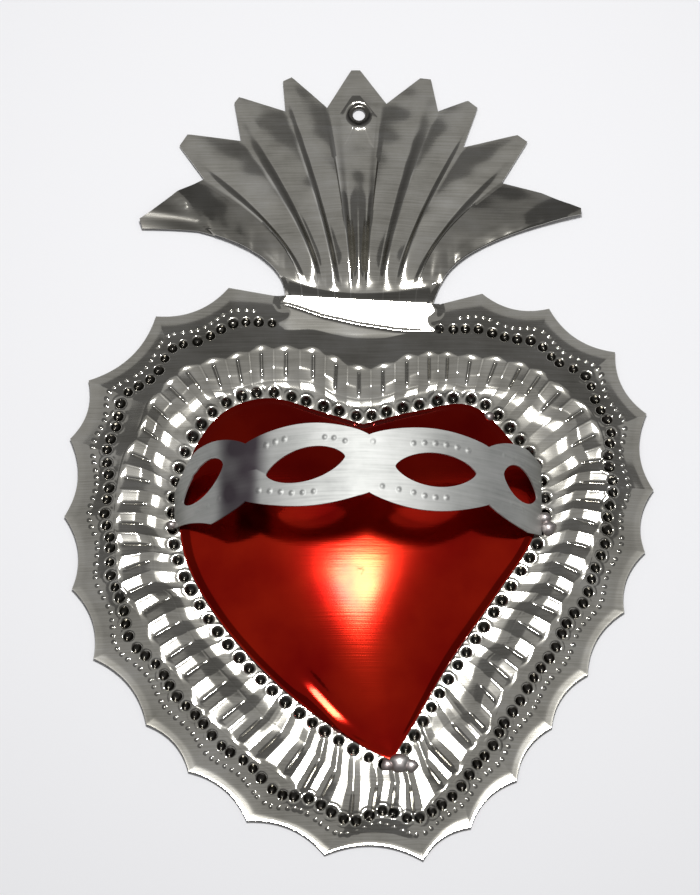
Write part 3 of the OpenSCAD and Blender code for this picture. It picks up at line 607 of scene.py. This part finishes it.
# the red heart: a stretched skin over the outline, pressed flat in one long facet at the lower left
dome = {
    "rise": 7.4, "edge": 0.45, "sheet": 0.35,   # rise of the middle, height of the rim over the bed, tin
    "fullness": 0.84,                           # below 1 the dome is fuller than a stretched skin
    "facetAt": (-8.5, -109.0), "facetAlong": (0.62, -0.785),
    "facetLong": 10.0, "facetWide": 2.4, "facetTilt": (-0.016, 0.031),
    "facetShare": 0.97,                         # how far the facet is pressed to its plane
    "rings": 80, "cell": 0.75, "rounds": 2600,  # fineness of the mesh and of the skin's sums
}
cell = dome["cell"]
gx = np.arange(-47.5, 47.6, cell)
gz = np.arange(-126, -23, cell)
rel = np.stack(np.meshgrid(gx, gz), axis=-1).reshape(-1, 2) - redMiddle
inHeart = (np.linalg.norm(rel, axis=1) < redReach(rel)).reshape(len(gz), len(gx))
skin = np.where(inHeart, 1.0, 0.0)
for _ in range(dome["rounds"]):
    skin[1:-1, 1:-1] = 0.25 * (skin[:-2, 1:-1] + skin[2:, 1:-1] + skin[1:-1, :-2] + skin[1:-1, 2:]) + 0.01
    skin *= inHeart
skin /= skin.max()


# height of the skin at the points p, between the points of its grid
def skinAt(p):
    fx, fz = (p[:, 0] - gx[0]) / cell, (p[:, 1] - gz[0]) / cell
    i, j = np.clip(fz.astype(int), 0, len(gz) - 2), np.clip(fx.astype(int), 0, len(gx) - 2)
    a, b = fz - i, fx - j
    return (skin[i, j] * (1 - a) * (1 - b) + skin[i + 1, j] * a * (1 - b) + skin[i, j + 1] * (1 - a) * b
            + skin[i + 1, j + 1] * a * b)


# height of the dome at the points p of ring s, which is 1 on the outline
def domeHeight(p, s):
    h = dome["rise"] * np.clip(skinAt(p), 0, 1) ** dome["fullness"] * ease(1 - s, -0.02, 0.05)
    return plate["bed"] + dome["edge"] + h


# the facet's plane faces a little downwards, and takes over from the skin in a soft-edged streak
def pressFacet(p, h):
    at, way = np.array(dome["facetAt"]), np.array(dome["facetAlong"])
    rel = p - at
    along, across = rel @ way, rel @ np.array([-way[1], way[0]])
    plane = domeHeight(at[None, :], 0.5)[0] + rel @ np.array(dome["facetTilt"])
    weight = np.exp(-(along / dome["facetLong"]) ** 4 - (across / dome["facetWide"]) ** 4)
    return h + (plane - h) * dome["facetShare"] * weight


domePoints = []
for s in 1 - np.linspace(0, 1, dome["rings"])[:-1] ** 1.3:
    p = redMiddle + (redOutline - redMiddle) * s
    h = pressFacet(p, domeHeight(p, s)) if s < 0.999 else domeHeight(p, s)
    domePoints.append(np.column_stack([p[:, 0], p[:, 1] + neckZ, h]))
domePoints = np.array(domePoints)
count = domePoints.shape[1]
domeIds = np.arange(domePoints.shape[0] * count).reshape(-1, count)
domeIds = np.column_stack([domeIds, domeIds[:, 0]])
top = domePoints.shape[0] * count
domeFaces = gridFaces(domeIds) + [[domeIds[-1, j], top, domeIds[-1, j + 1]] for j in range(count)]
points = np.vstack([domePoints.reshape(-1, 3), [[*redMiddle + [0, neckZ], domePoints[-1, :, 2].max()]]])
points, faces = solidSheet(points, domeFaces, [list(domeIds[0, :-1])], dome["sheet"])
redHeart = addMesh("red_heart", points, faces, redTin, "red_heart")
print("red heart", len(points), "points")

# the crown band: a straight strip, snipped like a twist of two strands and bent to a high arch
band = {
    "left": -46.6, "right": 46.1,   # feet, from the middle
    "height": 28.1,                 # inner face at the middle, over the wall
    "round": 0.685,                 # share of the arch's fall that is a plain parabola
    "drop": 52.7,                   # middle line below the neck fold
    "waist": 15.3, "wide": 22.1,    # width at the waists and across the almond holes
    "almond": 9.1, "sheet": 0.4,
    "endFall": (3.8, 1.1), "dip": 0.9,      # droop of the two feet, and sag of the middle line
    "endWidth": (9.4, 18.9),
    # share of the half span where the left and the right foot start to narrow, and how suddenly
    "taperOver": ((0.86, 2), (0.93, 1)), "taperUnder": ((0.8, 1), (0.93, 1)),
    "dots": 0.28, "dotRadius": 0.75,        # height of the punched dots
    "wave": 0.08, "waveSize": 16,           # small hand-bent unevenness, which breaks the sheen
    "stainAt": -30.5, "stainHalf": 5, "stain": 0.88,        # heat stain at the left waist
    "rimAt": -25, "rimHalf": 2, "rim": 0.5,                 # its darker rim on the upper strand
}
# waists and almond holes, as shares of the half span, and the holes' slant: height of their two ends
waists = [-0.615, 0.06, 0.714]
almonds = [(-0.957, -0.734, 0, 3.7), (-0.502, -0.07, -1.7, 1.7), (0.202, 0.644, 0, 0), (0.793, 0.977, 1.6, 0)]
bandMid, bandHalf = (band["left"] + band["right"]) / 2, (band["right"] - band["left"]) / 2


# height of the band's middle line at share s of the half span
def bandLine(s):
    fall = np.where(s < 0, *band["endFall"]) * s**6
    dip = np.where((s > 0) & (s < waists[2]), band["dip"] * np.sin(math.pi * s / waists[2]), 0)
    return neckZ - band["drop"] - fall - dip


def archBetween(s, a, b):
    return np.sin(math.pi * np.clip((s - a) / (b - a), 0, 1))


# half width at s: swollen between the waists and beyond them, and tapered towards the feet
def bandHalfWidth(s, start, power):
    swell = np.where(s < waists[0], np.sin(0.5 * math.pi * np.clip((waists[0] - s) / 0.22, 0, 1)),
            np.where(s > waists[2], np.sin(0.5 * math.pi * np.clip((s - waists[2]) / 0.2, 0, 1)),
            np.where(s < waists[1], archBetween(s, *waists[:2]), archBetween(s, *waists[1:]))))
    full = band["waist"] + (band["wide"] - band["waist"]) * np.abs(swell) ** 0.8
    taper = np.clip((np.abs(s) - start) / (1 - start), 0, 1) ** power
    return np.minimum(full, band["wide"] + (np.where(s < 0, *band["endWidth"]) - band["wide"]) * taper) / 2


# height of the band's inner face: a parabola that drops steeply at the feet
def bandHeight(x):
    t = np.clip(np.abs(x - bandMid) / bandHalf, 0, 1)
    fall = band["round"] * t**2 + (1 - band["round"]) * t**8
    return band["height"] - (band["height"] - plate["bed"]) * fall


# columns are closer together on the steep feet, and one stands at each tip of an almond hole
s = np.concatenate([np.linspace(-1, -0.9, 70)[:-1], np.linspace(-0.9, 0.9, 460)[:-1],
                    np.linspace(0.9, 1, 70)])
for almondTip in [tip for almond in almonds for tip in almond[:2]]:
    s[np.argmin(np.abs(s - almondTip))] = almondTip
over = np.where(s < 0, *(bandHalfWidth(s, *taper) for taper in band["taperOver"]))
under = np.where(s < 0, *(bandHalfWidth(s, *taper) for taper in band["taperUnder"]))
high, low = np.zeros(len(s)), np.zeros(len(s))
for a, b, tiltA, tiltB in almonds:
    t = (s - a) / (b - a)
    within = (t >= 0) & (t <= 1)
    tilt = tiltA + (tiltB - tiltA) * np.clip(t, 0, 1)
    half = (2 * np.sqrt(np.clip(t * (1 - t), 0, 1))) ** 1.4 * band["almond"] / 2
    nearTip = np.clip(1 - np.minimum(np.abs(s - a), np.abs(s - b)) / 0.05, 0, 1)
    outside = np.where(t < 0, tiltA, tiltB) * nearTip * ~within
    high = np.where(within, tilt + half, high + outside)
    low = np.where(within, tilt - half, low + outside)
x = bandMid + s * bandHalf
across = np.linspace(0, 1, 26)
upper = high[:, None] + (over - high)[:, None] * across
lower = low[:, None] + (-under - low)[:, None] * across
z = np.concatenate([lower[:, ::-1], upper], axis=1) + bandLine(s)[:, None]
slope = np.gradient(bandHeight(x), x)
normal = np.column_stack([-slope, np.ones(len(s))]) / np.hypot(slope, 1)[:, None]
everyRow = np.ones(z.shape)
face = np.stack([x[:, None] * everyRow, z, bandHeight(x)[:, None] * everyRow], axis=-1)
# punched dots on the strands, raised from behind: (share of the half span, height over the middle line)
bandDots = [(-0.86, 5.4), (-0.82, 5.9), (-0.5, 6.3), (-0.45, 6.9), (-0.4, 7.3), (-0.18, 7.0), (-0.13, 6.7),
    (-0.42, -6.8), (-0.36, -7.4), (-0.3, -7.5), (-0.24, -7.4), (0.3, 6.6), (0.36, 7.0), (0.42, 7.1),
    (0.48, 7.0), (0.54, 6.6), (0.3, -6.6), (0.36, -7.2), (0.42, -7.4), (0.48, -7.2), (0.22, -6.2),
    (-0.9, 5.0), (-0.88, -5.2), (-0.82, -5.8), (-0.76, -5.0), (-0.54, -5.6), (-0.48, -6.2), (-0.07, 5.8),
    (0.08, 5.9), (0.13, -5.8), (0.6, 6.0), (0.8, 6.8), (0.85, 6.9), (0.9, 6.6), (0.84, -5.6),
    (0.89, -5.9)]
dots = np.zeros(z.shape)
for share, rise in bandDots:
    d = np.hypot(face[..., 0] - (bandMid + share * bandHalf), z - bandLine(np.array([share]))[0] - rise)
    dots += band["dots"] * np.clip(1 - (d / band["dotRadius"]) ** 2, 0, 1) ** 1.3
# the unevenness lies wholly behind the arch, so that the band is no higher than its sheet
dots += band["wave"] * (ripple(face[..., 0], z, band["waveSize"], 21) - 1.5)
patchy = band["stain"] + 0.1 * ripple(face[..., 0], z, 7, 31)
bandStain = np.exp(-((face[..., 0] - band["stainAt"]) / band["stainHalf"]) ** 6) * patchy
upperX = face[:, len(across):, 0]
bandStain[:, len(across):] += band["rim"] * np.exp(-((upperX - band["rimAt"]) / band["rimHalf"]) ** 2)
bandStain = np.tile(bandStain.reshape(-1), 2).clip(0, 0.95)
# the feet stay plain, so that they lie on the plate
dots *= ease(bandHeight(x), 3.5, 7)[:, None]
outerFace, innerFace = face.copy(), face.copy()
for k, way in ((0, 0), (2, 1)):
    outerFace[..., k] += normal[:, None, way] * (band["sheet"] + dots)
    innerFace[..., k] += normal[:, None, way] * dots
outerFace[..., 2] = np.minimum(outerFace[..., 2], band["height"] + band["sheet"])
rowsLow = len(across)
bandIds = np.arange(z.size).reshape(z.shape)
closed = (high - low) <= 1e-6
bandIds[closed, rowsLow] = bandIds[closed, rowsLow - 1]
count = z.size
bandFaces = [[int(v) for v in (bandIds[i, j], bandIds[i + 1, j], bandIds[i + 1, j + 1], bandIds[i, j + 1])]
             for i in range(len(s) - 1) for j in range(2 * rowsLow - 1) if j != rowsLow - 1]
edges = {(f[k], f[(k + 1) % 4]) for f in bandFaces for k in range(4)}
walls = [[b, a, a + count, b + count] for a, b in sorted(edges) if (b, a) not in edges]
points = np.vstack([outerFace.reshape(-1, 3), innerFace.reshape(-1, 3)])
faces = bandFaces + [[v + count for v in reversed(f)] for f in bandFaces] + walls
used = sorted({v for f in faces for v in f})
number = {v: i for i, v in enumerate(used)}
crownBand = addMesh("crown_band", points[used], [[number[v] for v in f] for f in faces], bandTin,
                    "crown_band", stain=bandStain[used])
print("crown band", len(used), "points")


# set solder: low round drops, joined where they touch, each (x, z, radius, rise)
solder = {"rings": 12, "around": 36, "uneven": (0.06, 0.04)}  # fineness of a drop, and its wavy outline


def addSolder(name, drops):
    rings, around = solder["rings"], solder["around"]
    verts, faces = [], []
    for k, (px, pz, radius, rise) in enumerate(drops):
        start = len(verts)
        for i in range(rings + 1):
            tilt = math.pi / 2 * i / rings
            for j in range(around):
                turn = 2 * math.pi * j / around
                wobble = 1 + solder["uneven"][0] * math.sin(3 * turn + k) \
                    + solder["uneven"][1] * math.sin(5 * turn + 2 * k)
                r = radius * math.cos(tilt) * wobble + 1e-4
                verts.append((px + r * math.cos(turn), pz + r * math.sin(turn),
                              plate["bed"] + rise * math.sin(tilt)))
        for i in range(rings):
            for j in range(around):
                a, b = start + i * around + j, start + i * around + (j + 1) % around
                faces.append([a, b, b + around, a + around])
        faces.append([start + j for j in range(around - 1, -1, -1)])
        faces.append([start + rings * around + j for j in range(around)])
    addMesh(name, verts, faces, solderMetal, name, 80)


leftZ, rightZ = float(bandLine(np.array([-1.0]))[0]), float(bandLine(np.array([1.0]))[0])
addSolder("solder_band_left", [(-47.8, leftZ - 3.8, 1.2, 1.3)])
addSolder("solder_band_right", [(48.2, rightZ - 7.4, 2.0, 1.8), (47.3, rightZ - 4.6, 1.6, 1.5)])
addSolder("solder_heart_tip", [(10.2, -124.0 + neckZ, 2.6, 1.8), (13.2, -124.8 + neckZ, 1.8, 1.3),
    (7.2, -124.6 + neckZ, 1.7, 1.2)])
addSolder("solder_heart_right_lobe", [(33.2, -31.0 + neckZ, 1.4, 1.3)])
print("solder")

# pale wall: it keeps the shadow, and from behind it lets the view through
paper, tree = newMaterial("pale wall")
behind = addNode(tree, "ShaderNodeNewGeometry").outputs["Backfacing"]
front = addNode(tree, "ShaderNodeBsdfDiffuse", {"Color": hexColor("#F3F3F5")})
through = addNode(tree, "ShaderNodeBsdfTransparent")
shader = addNode(tree, "ShaderNodeMixShader", i0=behind, i1=front.outputs[0], i2=through.outputs[0])
addNode(tree, "ShaderNodeOutputMaterial", Surface=shader.outputs[0])
bpy.ops.mesh.primitive_plane_add(size=8, location=(0, 0.0008, -0.09), rotation=(math.radians(90), 0, 0))
wall = bpy.context.object
wall.name = "wall"
wall.data.materials.append(paper)

# light: one small lamp that flashes on the slopes towards it, a dim wide soft box that the flats reflect
# as mid grey, and even grey surroundings
light = {"lampAt": (0.01, -0.6, 0.0), "lampSize": (0.11, 0.11), "lampPower": 2.85,
         "boxAt": (0.0, -1.5, -0.15), "boxSize": (3.4, 1.9), "boxPower": 4.5,
         "aim": (0, 0, -0.1), "room": "#6A6A6B"}


def addLamp(name, place, size, power, shape):
    data = bpy.data.lights.new(name, "AREA")
    data.shape = shape
    data.size, data.size_y = size
    data.energy = power
    lamp = bpy.data.objects.new(name, data)
    bpy.context.collection.objects.link(lamp)
    lamp.location = place
    lamp.rotation_mode = "QUATERNION"
    lamp.rotation_quaternion = (Vector(light["aim"]) - Vector(place)).to_track_quat("-Z", "Y")


addLamp("small lamp", light["lampAt"], light["lampSize"], light["lampPower"], "ELLIPSE")
addLamp("soft box", light["boxAt"], light["boxSize"], light["boxPower"], "RECTANGLE")
world = bpy.data.worlds.new("room")
bpy.context.scene.world = world
world.use_nodes = True
world.node_tree.nodes["Background"].inputs[0].default_value = hexColor(light["room"])
world.node_tree.nodes["Background"].inputs[1].default_value = 1.0

# camera: far off and 20 degrees below the plate's face, as in the photo
view = {"below": 20, "distance": 3.0, "aim": (-0.0023, 0, -0.0911), "frameHeight": 0.2283}
tilt = math.radians(view["below"])
cameraData = bpy.data.cameras.new("camera")
camera = bpy.data.objects.new("camera", cameraData)
bpy.context.collection.objects.link(camera)
cameraData.sensor_fit = "VERTICAL"
cameraData.sensor_height = 36
cameraData.lens = cameraData.sensor_height * view["distance"] / view["frameHeight"]
camera.location = Vector(view["aim"]) + view["distance"] * Vector((0, -math.cos(tilt), -math.sin(tilt)))
camera.rotation_euler = (math.radians(90) + tilt, 0, 0)
bpy.context.scene.camera = camera
bpy.context.scene.view_settings.view_transform = "Standard"
print("lamps and camera")
